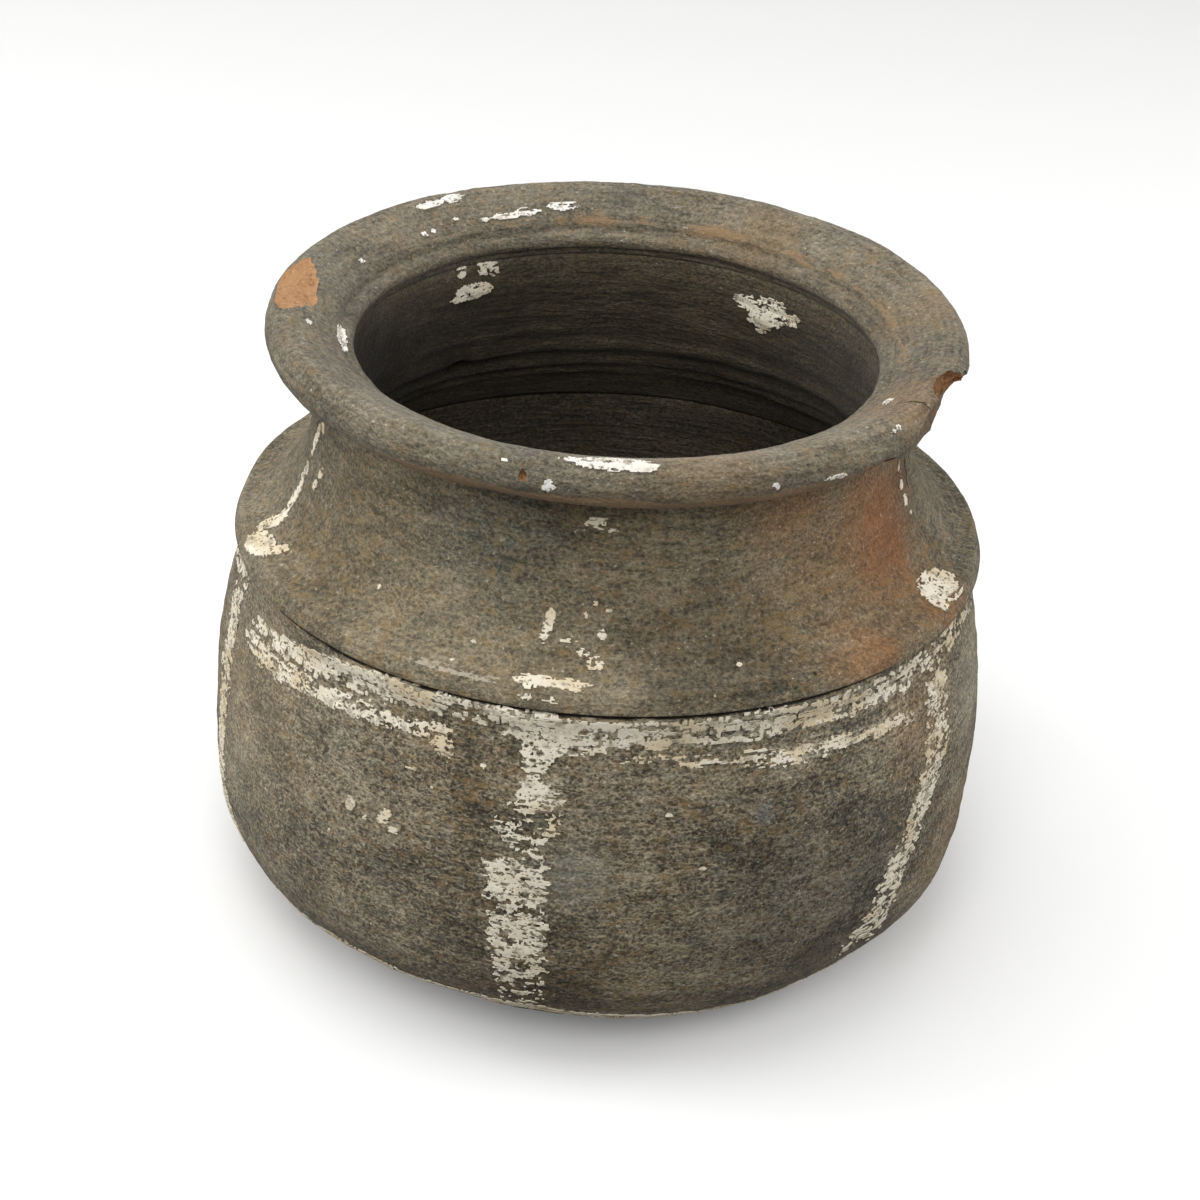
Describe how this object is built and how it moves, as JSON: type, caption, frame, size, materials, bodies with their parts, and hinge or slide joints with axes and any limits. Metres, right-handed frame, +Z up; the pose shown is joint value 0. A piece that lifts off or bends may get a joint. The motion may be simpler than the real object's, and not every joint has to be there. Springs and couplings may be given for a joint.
{
  "type": "hand-built terracotta water jar",
  "caption": "Squat round-bellied clay jar with a ridged shoulder, a short neck and a wide everted rim, painted with worn limewash bands.",
  "frame": {"origin": "centre of the flat that the jar rests on", "axes": "+Z up along the jar's axis; -Y is the side the picture shows, +X to its right"},
  "size_m": [0.26, 0.2606, 0.2096],
  "materials": {
    "clay_bowl": "matt, smoke-blackened grey-brown fired clay",
    "clay_shoulder": "matt, smoke-stained brown fired clay with orange patches",
    "clay_rim": "matt, worn and rubbed fired clay",
    "limewash": "matt, chalky, flaking limewash"
  },
  "bodies": {
    "root": {"lower_bowl": "clay_bowl", "shoulder": "clay_shoulder", "rim": "clay_rim", "girdle_stroke": "limewash", "lower_stroke": "limewash", "front_stripe": "limewash", "right_stripe": "limewash", "left_stripe": "limewash", "rear_stripes": "limewash", "base_stroke": "limewash", "shoulder_daubs": "limewash", "neck_daubs": "limewash", "rim_daubs": "limewash", "inside_daubs": "limewash", "bowl_specks": "limewash"}
  },
  "joints": []
}
